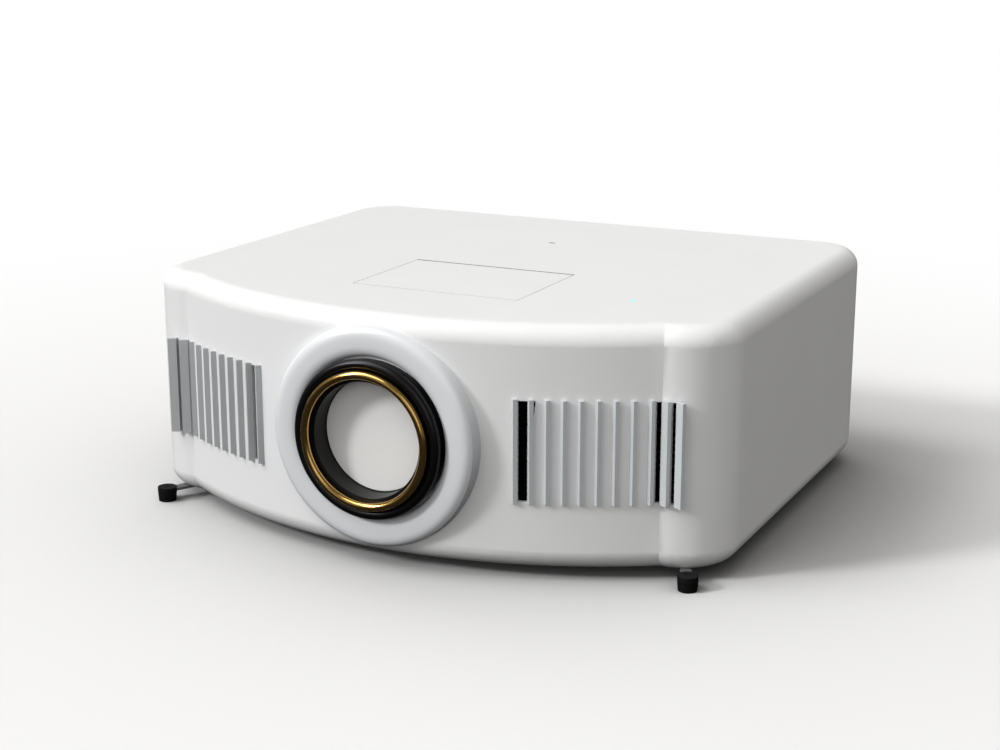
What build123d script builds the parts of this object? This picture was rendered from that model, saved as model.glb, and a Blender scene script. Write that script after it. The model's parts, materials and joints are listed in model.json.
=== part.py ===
from build123d import *
import os
from math import cos, radians, sin, sqrt, tan

os.makedirs("parts", exist_ok=True)

# Case. Lengths are in millimetres, +Z is up and the lens looks along -Y.
case_width = 490.0
case_depth = 370.6
case_height = 180.6
bow_rise = 58.0
ground_clearance = 7.3
corner_radius = 44.5
rear_corner_radius = 41.0
top_edge_radius = 15.0
bottom_edge_radius = 16.0
wall = 3.0
bow_overlap = 4.0
fit_gap = 0.3
slide_gap = 0.25
running_gap = 0.05

# Lens trim: radii about the lens axis, and distances in front of or behind the crown of the bow.
ring_outer_radius = 83.0
ring_tube_radius = 10.5
ring_seat = 4.3
hood_radius = 58.0
lip_radius = 56.0
lip_tube_radius = 4.0
lip_reach = 9.0
gold_radius = 48.6
gold_tube_radius = 3.6
gold_reach = 13.2
hood_face_reach = 10.2
bore_radius = 43.3
bore_depth = 16.5
cap_thickness = 4.0
cap_gap = 0.4
shoulder_radius = 40.5
hood_tail = 9.0
hood_flange_width = 5.0

# Side vents: upright slats turned outwards, over one open slot near the lens and two at the corner.
slat_count = 11
slat_pitch = 11.077
slat_run = 93.47
slat_thickness = 3.1
slat_length = 6.9
slat_height = 77.0
slat_drop = 0.4
slat_first_turn = 41.0
slat_last_turn = 63.0
slat_proud = 4.2
corner_slat_proud = 5.4
slat_web = 1.2
slot_height = 74.5
slot_drop = 0.75
slot_start = 0.6
slot_ends = {0: 3.0, 8: 5.2, 9: 5.2}
relief_width = 2.4
relief_height = 23.8
screen_thickness = 1.5
screen_margin = 6.0
screen_bar = 2.6
screen_pitch = 5.2
screen_rows = 15

# Top cover, status light and light sensor.
cover_width = 139.5
cover_depth = 103.8
cover_x = 2.7
cover_setback = 89.15
cover_gap = 0.45
ledge_width = 4.0
ledge_thickness = 2.0
hinge_pin_radius = 1.0
hinge_pin_length = 6.0
well_wall = 2.0
well_lift = 8.0
light_inset = 95.5
light_setback = 125.5
light_radius = 1.6
sensor_x = 1.0
sensor_setback = 307.5
sensor_length = 5.5
sensor_width = 2.0
light_flange = 1.4
flange_thickness = 1.2

# Base and feet.
rim_inset = 26.0
pan_lap = 7.0
lap_thickness = 2.0
ear_width = 8.0
ear_thickness = 2.2
front_foot_inset = 20.1
front_foot_reach = 5.6
foot_radius = 7.0
foot_taper = 0.6
boss_height = 4.0
pad_height = 7.0
stud_radius = 2.5
stud_socket = 4.8
rear_foot_side = 49.0
rear_foot_inset = 40.0
rear_foot_radius = 8.0
rim_screw_radius = 1.5
rim_head_radius = 3.0
rim_head_depth = 1.8
rim_boss_radius = 4.0
rim_boss_height = 6.0
rim_screw_inset = 70.0
rim_screw_shift = 30.0
rim_screw_spacing = 120.0
mount_spacing_x = 300.0
mount_spacing_y = 260.0
mount_hole_radius = 2.1
mount_boss_radius = 6.0
mount_boss_height = 10.0
mount_hole_depth = 12.0

# Rear panel with its sockets and controls. Rises are measured from the lens axis.
panel_width = 406.0
panel_margin = 1.8
panel_corner = 8.0
panel_thickness = 2.5
panel_lap = 5.0
bracket_width = 12.0
bracket_height = 16.0
bracket_drop = 9.0
panel_screw_x = 190.0
panel_screw_rise = 8.4
grille_width = 84.0
grille_bar = 4.0
grille_slot = 4.4
grille_count = 10
board_thickness = 1.6
board_gap = 16.6
board_left = 94.0
board_right = 56.0
board_drop = 69.6
board_rise = 32.4
standoff_inset = 5.0
socket_wall = 1.5
window_margin = 3.0
plate_lap = 3.0
plate_thickness = 1.5
socket_recess = 12.0
socket_places = [
    (-70.0, -52.6, 17.0, 8.0),
    (-46.0, -52.6, 17.0, 8.0),
    (-20.0, -52.6, 15.0, 9.0),
    (8.0, -50.6, 18.0, 16.0),
    (-62.0, -17.6, 32.0, 14.0),
    (-22.0, -17.6, 32.0, 14.0),
]
jack_xs = (-76, -58, -40)
jack_rise = 14.4
jack_radius = 5.0
jack_bore = 1.8
standoff_radius = 3.0
button_count = 4
button_radius = 5.5
button_flange = 1.4
button_flange_thickness = 1.5
button_reach = 1.7
button_travel = 1.2
button_rise = 52.4
button_edge = 0.5
button_pitch = 24.0
button_first_x = -56.0
keypad_margin = 12.0
keypad_gap = 0.5
controls_x = 176.0
inlet_drop = 45.6
inlet_width = 30.0
inlet_height = 24.0
inlet_wall = 3.0
inlet_recess = 15.0
inlet_depth = 20.0
pin_width = 4.0
pin_thickness = 2.0
pin_spacing = 14.0
switch_drop = 5.6
switch_radius = 9.0
switch_width = 12.0
switch_face = 5.2
switch_tilt = 8.0
switch_frame_wall = 2.0
switch_depth = 4.5
switch_pivot_radius = 1.5

# Lens, its rings and its two shift slides.
barrel_radius = 37.0
barrel_wall = 3.0
barrel_front = 33.5
barrel_length = 142.0
barrel_rib = 1.5
barrel_rib_height = 2.5
front_glass_thickness = 12.0
rear_glass_thickness = 8.0
glass_rounding = 3.0
focus_ring_at = 66.0
zoom_ring_at = 123.5
lens_ring_width = 17.0
lens_ring_wall = 5.0
lever_drop = 12.3
lever_width = 5.0
lever_thickness = 4.0
lever_swing = 20.0
lever_play = 1.5
shift_travel = 5.0
portal_at = 106.0
portal_thickness = 6.0
portal_half_width = 72.0
portal_rise = 60.4
portal_foot = 36.0
carriage_thickness = 6.0
carriage_half_width = 58.0
carriage_half_height = 52.0
rail_thickness = 6.0
rail_lip = 4.0
rail_cover = 3.7
plate_half_width = 46.0
plate_half_height = 38.0
dial_x = 45.0
dial_radius = 12.0
dial_height = 8.0
dial_shaft = 2.0
dial_drop = 6.0
knurl_count = 18
knurl_radius = 1.4
knurl_offset = 0.6

# Light engine and lamp.
engine_half_width = 60.0
engine_depth = 118.0
engine_gap = 12.0
engine_height = 76.0
engine_wall = 3.0
window_radius = 26.0
leg_width = 10.0
arm_front = 50.0
arm_width = 40.0
arm_height = 34.0
lamp_x = -145.0
arm_end = 25.0
wheel_plate_width = 60.0
wheel_plate_drop = 52.6
wheel_plate_rise = 24.0
beam_radius = 9.0
wheel_radius = 30.0
wheel_thickness = 1.5
wheel_drop = 21.0
motor_radius = 9.0
motor_length = 7.0
wheel_clearance = 1.5
wheel_hub_radius = 6.0
wheel_shaft_radius = 1.5
wheel_shaft_length = 5.0
prism_size = 34.0
prism_height = 52.0
sink_depth = 34.0
sink_width = 60.0
sink_height = 56.0
sink_fin = 1.5
sink_fins = 10
lamp_width = 96.0
lamp_height = 104.0
lamp_length = 121.7
lamp_floor = 3.0
lamp_side = 34.0
lamp_window = 33.0
reflector_radius = 38.0
reflector_depth = 40.0
reflector_wall = 2.5
reflector_rim = 5.0
reflector_neck = 12.0
bowl_outer_share = 0.72
bowl_inner_share = 0.68
burner_radius = 4.0
burner_length = 56.0
bulb_radius = 6.5
grip_width = 60.0
grip_height = 28.0
grip_depth = 12.0
grip_bar = 8.0
grip_bar_depth = 5.0

# Fans and filter.
fan_size = 92.0
fan_depth = 25.0
fan_bore = 43.0
fan_corner = 6.0
fan_hub_radius = 17.0
fan_blade_count = 7
fan_blade_radius = 41.0
fan_blade_turn = 38.0
fan_blade_thickness = 1.6
fan_blade_width = 20.0
spider_thickness = 3.0
spoke_width = 6.0
spoke_overlap = 0.5
blade_root = 3.0
fan_shaft_radius = 2.0
fan_end_gap = 1.0
fan_leg_width = 10.0
intake_x = -199.5
filter_y = -30.0
exhaust_x = 108.0
filter_width = 126.0
filter_height = 108.0
filter_depth = 20.0
filter_wall = 2.0
filter_slot_count = 15
filter_slot_pitch = 7.6
filter_slot_width = 3.2
filter_slot_margin = 8.0
foam_depth = 10.0
sleeve_lip = 4.0

# Power supply.
supply_x = 163.0
supply_y = 30.0
supply_width = 96.0
supply_length = 180.0
supply_lift = 8.0
choke_size = 36.0
capacitor_radius = 12.0
capacitor_height = 40.0
supply_leg_inset = 6.0
choke_places = [(-22.0, 50.0), (20.0, -10.0)]
capacitor_places = [(-22.0, -60.0), (-22.0, -30.0)]
fin_place = (34.0, 50.0)
fin_thickness = 4.0
fin_length = 60.0

overall_depth = case_depth + bow_rise + gold_reach + gold_tube_radius
rear_y = overall_depth / 2
corner_y = rear_y - case_depth
case_mid_y = (rear_y + corner_y) / 2
crown_y = corner_y - bow_rise
base_z = ground_clearance
top_z = base_z + case_height
lens_z = base_z + case_height / 2
bow_half_width = case_width / 2 - corner_radius
slat_first_x = bow_half_width - slat_run
front_foot_x = case_width / 2 - front_foot_inset
rear_foot_x = case_width / 2 - rear_foot_side
light_x = case_width / 2 - light_inset
lever_reach = case_height / 2 - lever_drop
portal_top = lens_z + portal_rise
panel_height = case_height - top_edge_radius - bottom_edge_radius - 2 * panel_margin
panel_screw_z = lens_z - panel_height / 2 + panel_screw_rise
bracket_z = panel_screw_z - bracket_drop
board_bottom = lens_z - board_drop
board_top = lens_z + board_rise
sockets = [(x, lens_z + rise, width, height) for x, rise, width, height in socket_places]
jack_z = lens_z + jack_rise
button_z = lens_z + button_rise
inlet_z = lens_z - inlet_drop
switch_z = lens_z - switch_drop
bow_radius = (bow_half_width**2 + bow_rise**2) / (2 * bow_rise)
bow_centre_y = crown_y + bow_radius


def bow_half(inset):
    """Half width of the bow, drawn in by inset, just past the line where it meets the flat front."""
    return sqrt((bow_radius - inset) ** 2 - (bow_centre_y - corner_y - inset) ** 2) + bow_overlap


def case_outline(inset):
    """Plan of the case, drawn in by inset: a rounded oblong with a bowed front."""
    with BuildSketch() as oblong:
        with Locations((0, case_mid_y)):
            Rectangle(case_width - 2 * inset, case_depth - 2 * inset)
        fillet(oblong.vertices().group_by(Axis.Y)[0], corner_radius - inset)
        fillet(oblong.vertices().group_by(Axis.Y)[-1], rear_corner_radius - inset)
    with BuildSketch() as plan:
        with Locations((0, bow_centre_y)):
            Circle(bow_radius - inset)
        with Locations((0, corner_y)):
            Rectangle(2 * bow_half(inset), 2 * (bow_rise + wall), mode=Mode.INTERSECT)
        add(oblong.sketch)
    return plan.sketch


def case_volume(inset):
    """Case as one solid with its rounded edges, drawn in by inset on every side."""
    height = case_height - 2 * inset
    with BuildPart() as block:
        with BuildSketch(Plane.XY.offset(base_z + inset)) as plan:
            with Locations((0, case_mid_y)):
                Rectangle(case_width - 2 * inset, case_depth - 2 * inset)
            fillet(plan.vertices().group_by(Axis.Y)[0], corner_radius - inset)
            fillet(plan.vertices().group_by(Axis.Y)[-1], rear_corner_radius - inset)
        extrude(amount=height)
        fillet(block.faces().sort_by(Axis.Z)[-1].edges(), top_edge_radius - inset)
        fillet(block.faces().sort_by(Axis.Z)[0].edges(), bottom_edge_radius - inset)
    with BuildPart() as volume:
        with BuildSketch(Plane.XY.offset(base_z + inset)):
            with Locations((0, bow_centre_y)):
                Circle(bow_radius - inset)
        extrude(amount=height)
        fillet(volume.faces().sort_by(Axis.Z)[-1].edges(), top_edge_radius - inset)
        fillet(volume.faces().sort_by(Axis.Z)[0].edges(), bottom_edge_radius - inset)
        with Locations((0, corner_y, lens_z)):
            Box(2 * bow_half(inset), 2 * (bow_rise + wall), case_height, mode=Mode.INTERSECT)
        add(block.part)
    return volume.part


def span(xs, ys, zs, mode=Mode.ADD):
    """Box between a pair of values on each axis, in the part that is being built."""
    with Locations(((xs[0] + xs[1]) / 2, (ys[0] + ys[1]) / 2, (zs[0] + zs[1]) / 2)):
        Box(xs[1] - xs[0], ys[1] - ys[0], zs[1] - zs[0], mode=mode)


def around(middle, half):
    """Pair of values at the same distance on both sides of a middle."""
    return (middle - half, middle + half)


def rod_y(x, z, radius, ys, mode=Mode.ADD):
    """Round bar along Y between a pair of Y values, in the part that is being built."""
    with Locations((x, (ys[0] + ys[1]) / 2, z)):
        Cylinder(radius, ys[1] - ys[0], rotation=(90, 0, 0), mode=mode)


def rod_z(x, y, radius, zs, mode=Mode.ADD):
    """Upright round bar between a pair of Z values, in the part that is being built."""
    with Locations((x, y, (zs[0] + zs[1]) / 2)):
        Cylinder(radius, zs[1] - zs[0], mode=mode)


def front_y(x):
    """Y of the case front at a distance x from the middle, with the corners left square."""
    if abs(x) < bow_half_width:
        return bow_centre_y - sqrt(bow_radius**2 - x**2)
    return corner_y


def finish(name, node):
    """Label a built part with its node name and write its file."""
    node.part.label = name
    export_step(node.part, "parts/" + name + ".step")


case_outer = case_volume(0)
case_inner = case_volume(wall)

lens_axis = Axis((0, 0, lens_z), (0, 1, 0))
lens_section = Plane(origin=(0, 0, lens_z), x_dir=(0, 1, 0), z_dir=(1, 0, 0))
inner_top_z = top_z - wall
pan_top = base_z + wall + lap_thickness
cover_front_y = crown_y + cover_setback
cover_rear_y = cover_front_y + cover_depth
cover_y = (cover_front_y + cover_rear_y) / 2
well_xs = around(cover_x, cover_width / 2 - ledge_width)
well_ys = (cover_front_y + ledge_width, cover_rear_y)
ledge_bottom = inner_top_z - ledge_thickness
well_floor_z = portal_top + well_lift
light_at = (light_x, crown_y + light_setback)
sensor_at = (sensor_x, crown_y + sensor_setback)
foot_y = corner_y - front_foot_reach
rear_foot_y = rear_y - rear_foot_inset
corner_centre = (bow_half_width, corner_y + corner_radius)
foot_run_x = front_foot_x - corner_centre[0]
foot_run_y = foot_y - corner_centre[1]
ear_length = sqrt(foot_run_x**2 + foot_run_y**2)
ear_turn = Vector(0, 1, 0).get_signed_angle(Vector(-foot_run_x, -foot_run_y, 0), Vector(0, 0, 1))
lip_middle = (bottom_edge_radius + rim_inset) / 2
rim_x = case_width / 2 - lip_middle
rim_ys = (corner_y + rim_screw_inset, case_mid_y + rim_screw_shift, rear_y - rim_screw_inset)
rim_points = [(side * rim_x, y) for side in (-1, 1) for y in rim_ys]
rim_points += [(side * rim_screw_spacing, rear_y - lip_middle) for side in (-1, 0, 1)]
rim_points += [(0, crown_y + lip_middle)]
panel_face_y = rear_y - wall
panel_back_y = panel_face_y - panel_thickness
filter_ys = around(filter_y, filter_width / 2)
filter_zs = around(lens_z, filter_height / 2)
left_x = -case_width / 2
slat_xs = [slat_first_x + i * slat_pitch for i in range(slat_count)]
slat_turn_step = (slat_last_turn - slat_first_turn) / (slat_count - 1)
slat_turns = [slat_first_turn + slat_turn_step * i for i in range(slat_count)]
slot_z = lens_z - slot_drop


def ear_bars(grow):
    """Sketch of the two bars that run from under the case out to the front feet."""
    with BuildSketch() as bars:
        for side in (-1, 1):
            with Locations((side * front_foot_x, foot_y)):
                Rectangle(ear_width + 2 * grow, ear_length, rotation=side * ear_turn,
                          align=(Align.CENTER, Align.MIN))
                Circle(foot_radius + foot_taper + grow)
    return bars.sketch


# Upper case: the white shell, open at the lens, the vents, the top cover, the filter, the rear and below.
with BuildPart() as upper_case:
    add(case_outer)
    add(case_inner, mode=Mode.SUBTRACT)
    span(around(cover_x, cover_width / 2 + ledge_width), around(cover_y, cover_depth / 2 + ledge_width),
         (ledge_bottom, inner_top_z))
    span(around(cover_x, cover_width / 2 + cover_gap), around(cover_y, cover_depth / 2 + cover_gap),
         (inner_top_z, top_z), mode=Mode.SUBTRACT)
    span(well_xs, (well_ys[0], well_ys[1] + cover_gap), (ledge_bottom, inner_top_z), mode=Mode.SUBTRACT)
    for side in (-1, 1):
        with Locations((cover_x + side * (cover_width / 2), cover_rear_y - wall / 2, top_z - wall / 2)):
            Cylinder(hinge_pin_radius + running_gap, hinge_pin_length, rotation=(0, 90, 0),
                     mode=Mode.SUBTRACT)
    rod_z(light_at[0], light_at[1], light_radius + slide_gap, (inner_top_z, top_z), mode=Mode.SUBTRACT)
    span(around(sensor_at[0], sensor_length / 2 + slide_gap), around(sensor_at[1],
                                                                     sensor_width / 2 + slide_gap),
         (inner_top_z, top_z), mode=Mode.SUBTRACT)
    rod_y(0, lens_z, hood_radius + fit_gap, (crown_y, corner_y), mode=Mode.SUBTRACT)
    for side in (-1, 1):
        for number, end in slot_ends.items():
            edges = (slat_xs[number] + slot_start, slat_xs[number + 1] - end)
            span((side * edges[side < 0], side * edges[side > 0]), (crown_y, corner_y + corner_radius),
                 around(slot_z, slot_height / 2), mode=Mode.SUBTRACT)
        with BuildSketch(Plane.XZ.offset(-corner_y)):
            with BuildLine():
                Polyline((side * slat_xs[1], slot_z + slot_height / 2),
                         (side * (slat_xs[1] + relief_width), slot_z + slot_height / 2),
                         (side * slat_xs[1], slot_z + slot_height / 2 - relief_height), close=True)
            make_face()
        extrude(amount=bow_rise, mode=Mode.SUBTRACT)
    with BuildSketch(Plane.XY.offset(base_z)):
        add(case_outline(rim_inset))
    extrude(amount=wall, mode=Mode.SUBTRACT)
    with BuildSketch(Plane.XY.offset(base_z)):
        add(ear_bars(fit_gap))
    extrude(amount=ear_thickness + fit_gap, mode=Mode.SUBTRACT)
    with BuildSketch(Plane.XZ.offset(-rear_y)):
        with Locations((0, lens_z)):
            RectangleRounded(panel_width - 2 * panel_lap, panel_height - 2 * panel_lap, panel_corner)
    extrude(amount=wall, mode=Mode.SUBTRACT)
    span((left_x + wall, left_x + wall + filter_depth), around(filter_y,
                                                               filter_width / 2 + filter_wall + slide_gap),
         around(lens_z, filter_height / 2 + filter_wall + slide_gap))
    span((left_x, left_x + filter_depth + fit_gap), around(filter_y, filter_width / 2 + slide_gap),
         around(lens_z, filter_height / 2 + slide_gap), mode=Mode.SUBTRACT)
    span((left_x + filter_depth, left_x + filter_depth + wall),
         around(filter_y, filter_width / 2 - sleeve_lip),
         around(lens_z, filter_height / 2 - sleeve_lip), mode=Mode.SUBTRACT)
    for x, y in rim_points:
        rod_z(x, y, rim_screw_radius + slide_gap, (base_z, base_z + wall), mode=Mode.SUBTRACT)
        rod_z(x, y, rim_head_radius + slide_gap, (base_z, base_z + rim_head_depth), mode=Mode.SUBTRACT)
finish("upper_case", upper_case)

# Base pan: the black floor with its lap, screw bosses, foot ears, lamp rails and panel brackets.
with BuildPart() as base_pan:
    with BuildSketch(Plane.XY.offset(base_z)):
        add(case_outline(rim_inset + fit_gap))
    extrude(amount=wall)
    with BuildSketch(Plane.XY.offset(base_z + wall)):
        add(case_outline(rim_inset - pan_lap))
    extrude(amount=lap_thickness)
    with BuildSketch(Plane.XY.offset(base_z)):
        add(ear_bars(0))
    extrude(amount=ear_thickness)
    for side in (-1, 1):
        rod_z(side * front_foot_x, foot_y, foot_radius + foot_taper, (base_z, base_z + boss_height))
        rod_z(side * front_foot_x, foot_y, stud_radius + running_gap, (base_z, base_z + boss_height),
              mode=Mode.SUBTRACT)
        xs = around(side * panel_screw_x, bracket_width / 2)
        span(xs, (rear_y - rim_inset - wall, rear_y - rim_inset + wall), (pan_top, bracket_z))
        span(xs, (rear_y - rim_inset - wall, panel_back_y), (bracket_z, bracket_z + bracket_height))
        rod_y(side * panel_screw_x, panel_screw_z, rim_screw_radius + running_gap,
              (panel_back_y - rim_boss_height, panel_back_y), mode=Mode.SUBTRACT)
        span(around(lamp_x + side * lamp_width / 3, fan_leg_width / 2),
             (panel_face_y - lamp_length, rear_y - rim_inset), (pan_top, lens_z - lamp_height / 2))
    for x, y in rim_points:
        rod_z(x, y, rim_boss_radius, (pan_top, pan_top + rim_boss_height))
        rod_z(x, y, rim_screw_radius + running_gap, (base_z, pan_top + rim_boss_height), mode=Mode.SUBTRACT)
    for x in (-mount_spacing_x / 2, mount_spacing_x / 2):
        for y in (-mount_spacing_y / 2, mount_spacing_y / 2):
            rod_z(x, y, mount_boss_radius, (pan_top, pan_top + mount_boss_height))
            rod_z(x, y, mount_hole_radius, (base_z, base_z + mount_hole_depth), mode=Mode.SUBTRACT)
finish("base_pan", base_pan)

# Front feet: a round pad that turns on its stud, and the stud that travels in the boss of the ear.
for side_name, side in (("left", -1), ("right", 1)):
    with BuildPart() as stud:
        rod_z(side * front_foot_x, foot_y, stud_radius, (pad_height - stud_socket,
                                                         base_z + boss_height - fit_gap))
    finish("front_foot_stud_" + side_name, stud)
    with BuildPart() as pad:
        with BuildSketch():
            with Locations((side * front_foot_x, foot_y)):
                Circle(foot_radius)
        with BuildSketch(Plane.XY.offset(pad_height)):
            with Locations((side * front_foot_x, foot_y)):
                Circle(foot_radius + foot_taper)
        loft()
        rod_z(side * front_foot_x, foot_y, stud_radius + running_gap,
              (pad_height - stud_socket - fit_gap, pad_height),
              mode=Mode.SUBTRACT)
    finish("front_foot_pad_" + side_name, pad)

with BuildPart() as rear_feet:
    for side in (-1, 1):
        rod_z(side * rear_foot_x, rear_foot_y, rear_foot_radius, (0, base_z))
finish("rear_feet", rear_feet)

# Lens trim ring: a half-round moulding around the hood, standing on the bowed front.
ring_mid_radius = ring_outer_radius - ring_tube_radius
ring_y = crown_y + ring_seat
with BuildPart() as lens_ring:
    with BuildSketch(lens_section):
        with Locations((ring_y, ring_mid_radius)):
            Circle(ring_tube_radius)
            Rectangle(2 * ring_tube_radius, 2 * ring_tube_radius, align=(Align.MIN, Align.CENTER))
    revolve(axis=lens_axis)
    add(case_outer, mode=Mode.SUBTRACT)
finish("lens_ring", lens_ring)

# Lens hood: the black tube with its rounded lip, the seat of the cap and a flange behind the case front.
hood_face_y = crown_y - hood_face_reach
cap_front_y = hood_face_y + bore_depth
cap_back_y = cap_front_y + cap_thickness
hood_back_y = cap_back_y + hood_tail
with BuildPart() as hood_flange:
    with BuildSketch(lens_section):
        with Locations((hood_back_y, (bore_radius + hood_radius + hood_flange_width) / 2)):
            Rectangle(hood_back_y - crown_y, hood_radius + hood_flange_width - bore_radius,
                      align=(Align.MAX, Align.CENTER))
    revolve(axis=lens_axis)
    add(case_inner, mode=Mode.INTERSECT)
with BuildPart() as lens_hood:
    with BuildSketch(lens_section):
        with Locations((hood_face_y, (bore_radius + hood_radius) / 2)):
            Rectangle(hood_back_y - hood_face_y, hood_radius - bore_radius, align=(Align.MIN, Align.CENTER))
        with Locations((crown_y - lip_reach, lip_radius)):
            Circle(lip_tube_radius)
        with Locations((cap_back_y, (shoulder_radius + bore_radius) / 2)):
            Rectangle(hood_tail, bore_radius - shoulder_radius, align=(Align.MIN, Align.CENTER))
    revolve(axis=lens_axis)
    add(hood_flange.part)
finish("lens_hood", lens_hood)

# Gold ring, flat on the face of the hood.
with BuildPart() as gold_ring:
    with BuildSketch(lens_section):
        with Locations((crown_y - gold_reach, gold_radius)):
            Circle(gold_tube_radius)
        with Locations((hood_face_y, gold_radius)):
            Rectangle(4 * gold_tube_radius, 4 * gold_tube_radius, align=(Align.MAX, Align.CENTER),
                      mode=Mode.INTERSECT)
    revolve(axis=lens_axis)
finish("gold_ring", gold_ring)

with BuildPart() as lens_cap:
    rod_y(0, lens_z, bore_radius - cap_gap, (cap_front_y, cap_back_y))
finish("lens_cap", lens_cap)

# Vent slats of the right side, each with a thin web back to the case, and their mirror image.
with BuildPart() as right_slats:
    with BuildSketch(Plane.XY.offset(lens_z - slat_drop - slat_height / 2)):
        for x, turn in zip(slat_xs, slat_turns):
            proud = slat_proud if x < bow_half_width else corner_slat_proud
            y = front_y(x) - proud
            with Locations((x, y)):
                Rectangle(slat_thickness, slat_length, rotation=turn, align=(Align.MIN, Align.MIN))
            heel_x = x + slat_thickness * cos(radians(turn)) - slat_length * sin(radians(turn))
            heel_y = y + slat_thickness * sin(radians(turn)) + slat_length * cos(radians(turn))
            with Locations((heel_x - slat_web / 3, heel_y - slat_web)):
                Rectangle(slat_web, slat_length, align=(Align.MIN, Align.MIN))
    extrude(amount=slat_height)
    add(case_outer, mode=Mode.SUBTRACT)
finish("right_slats", right_slats)
with BuildPart() as left_slats:
    mirror(right_slats.part, about=Plane.YZ)
finish("left_slats", left_slats)

# Vent screens: barred linings against the inside of the case behind the open slots of both sides.
with BuildPart() as right_screen:
    add(case_inner)
    add(case_volume(wall + screen_thickness), mode=Mode.SUBTRACT)
    screen_xs = (slat_xs[0] - screen_margin, slat_xs[-1] + screen_margin / 2)
    screen_zs = around(slot_z, slot_height / 2 + screen_margin)
    span(screen_xs, (crown_y, corner_centre[1]), screen_zs, mode=Mode.INTERSECT)
    for row in range(screen_rows):
        middle = slot_z + (row - (screen_rows - 1) / 2) * screen_pitch
        span((screen_xs[0] + screen_margin / 2, screen_xs[1] - screen_margin / 2),
             (crown_y, corner_centre[1]),
             around(middle, screen_bar / 2), mode=Mode.SUBTRACT)
with BuildPart() as vent_screens:
    add(right_screen.part)
    mirror(right_screen.part, about=Plane.YZ)
finish("vent_screens", vent_screens)

# Top cover with a fully rounded rear edge that turns about the hinge pins.
hinge_y = cover_rear_y - wall / 2
hinge_z = top_z - wall / 2
with BuildPart() as top_cover:
    span(around(cover_x, cover_width / 2), (cover_front_y, cover_rear_y), (inner_top_z, top_z))
    fillet(top_cover.edges().filter_by(Axis.X).group_by(Axis.Y)[-1], wall / 2 - running_gap / 5)
    for side in (-1, 1):
        with Locations((cover_x + side * cover_width / 2, hinge_y, hinge_z)):
            Cylinder(hinge_pin_radius, hinge_pin_length, rotation=(0, 90, 0), mode=Mode.SUBTRACT)
finish("top_cover", top_cover)
with BuildPart() as cover_hinge_pins:
    for side in (-1, 1):
        with Locations((cover_x + side * cover_width / 2, hinge_y, hinge_z)):
            Cylinder(hinge_pin_radius, hinge_pin_length - 2 * running_gap, rotation=(0, 90, 0))
finish("cover_hinge_pins", cover_hinge_pins)

# Control well: the tray under the top cover, with slots for the two lens levers and holes for the dials.
barrel_front_y = crown_y + barrel_front
focus_y = barrel_front_y + focus_ring_at
zoom_y = barrel_front_y + zoom_ring_at
dial_y = (focus_y + zoom_y) / 2 - lever_width
lever_half_sweep = lever_reach * sin(radians(lever_swing)) + shift_travel + lever_thickness
with BuildPart() as control_well:
    span((well_xs[0] - well_wall, well_xs[1] + well_wall), (well_ys[0] - well_wall, well_ys[1] + well_wall),
         (well_floor_z - well_wall, ledge_bottom))
    span(well_xs, well_ys, (well_floor_z, ledge_bottom), mode=Mode.SUBTRACT)
    for y in (focus_y, zoom_y):
        span((-lever_half_sweep, lever_half_sweep), around(y, lever_width / 2 + lever_play),
             (well_floor_z - well_wall, well_floor_z), mode=Mode.SUBTRACT)
    for side in (-1, 1):
        rod_z(side * dial_x, dial_y, dial_shaft + running_gap, (well_floor_z - well_wall, well_floor_z),
              mode=Mode.SUBTRACT)
finish("control_well", control_well)
for dial_name, side in (("shift_dial_side", -1), ("shift_dial_height", 1)):
    with BuildPart() as dial:
        with BuildSketch(Plane.XY.offset(well_floor_z)):
            with Locations((side * dial_x, dial_y)):
                Circle(dial_radius)
                with PolarLocations(dial_radius + knurl_offset, knurl_count):
                    Circle(knurl_radius, mode=Mode.SUBTRACT)
        extrude(amount=dial_height)
        rod_z(side * dial_x, dial_y, dial_shaft, (well_floor_z - well_wall - dial_drop, well_floor_z))
    finish(dial_name, dial)

# Status light and light sensor, pushed up from inside the case top.
with BuildPart() as status_light:
    rod_z(light_at[0], light_at[1], light_radius, (inner_top_z - flange_thickness, top_z))
    rod_z(light_at[0], light_at[1], light_radius + light_flange,
          (inner_top_z - flange_thickness, inner_top_z))
finish("status_light", status_light)
with BuildPart() as light_sensor:
    span(around(sensor_at[0], sensor_length / 2), around(sensor_at[1], sensor_width / 2),
         (inner_top_z, top_z))
    span(around(sensor_at[0], sensor_length / 2 + light_flange),
         around(sensor_at[1], sensor_width / 2 + light_flange),
         (inner_top_z - flange_thickness, inner_top_z))
finish("light_sensor", light_sensor)

# Lens portal: the fixed upright plate, with a top and a bottom rail for the sideways slide.
portal_y = crown_y + portal_at + barrel_front
carriage_y = portal_y - carriage_thickness
plate_y = carriage_y - carriage_thickness
lens_clear = barrel_radius + shift_travel + wall / 2
portal_clear = barrel_radius + shift_travel * sqrt(2) + wall / 2
with BuildPart() as lens_portal:
    span(around(0, portal_half_width), (portal_y, portal_y + portal_thickness), (pan_top, portal_top))
    span(around(0, portal_half_width), (portal_y, portal_y + portal_foot), (pan_top, pan_top + wall))
    rod_y(0, lens_z, portal_clear, (portal_y, portal_y + portal_thickness), mode=Mode.SUBTRACT)
    for side in (-1, 1):
        edge = side * (carriage_half_height + fit_gap)
        rail = sorted((lens_z + edge, lens_z + edge + side * rail_thickness))
        lip = sorted((lens_z + edge + side * rail_thickness, lens_z + edge - side * rail_cover))
        span(around(0, portal_half_width), (carriage_y - fit_gap, portal_y), rail)
        span(around(0, portal_half_width), (carriage_y - fit_gap - rail_lip, carriage_y - fit_gap), lip)
finish("lens_portal", lens_portal)

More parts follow.
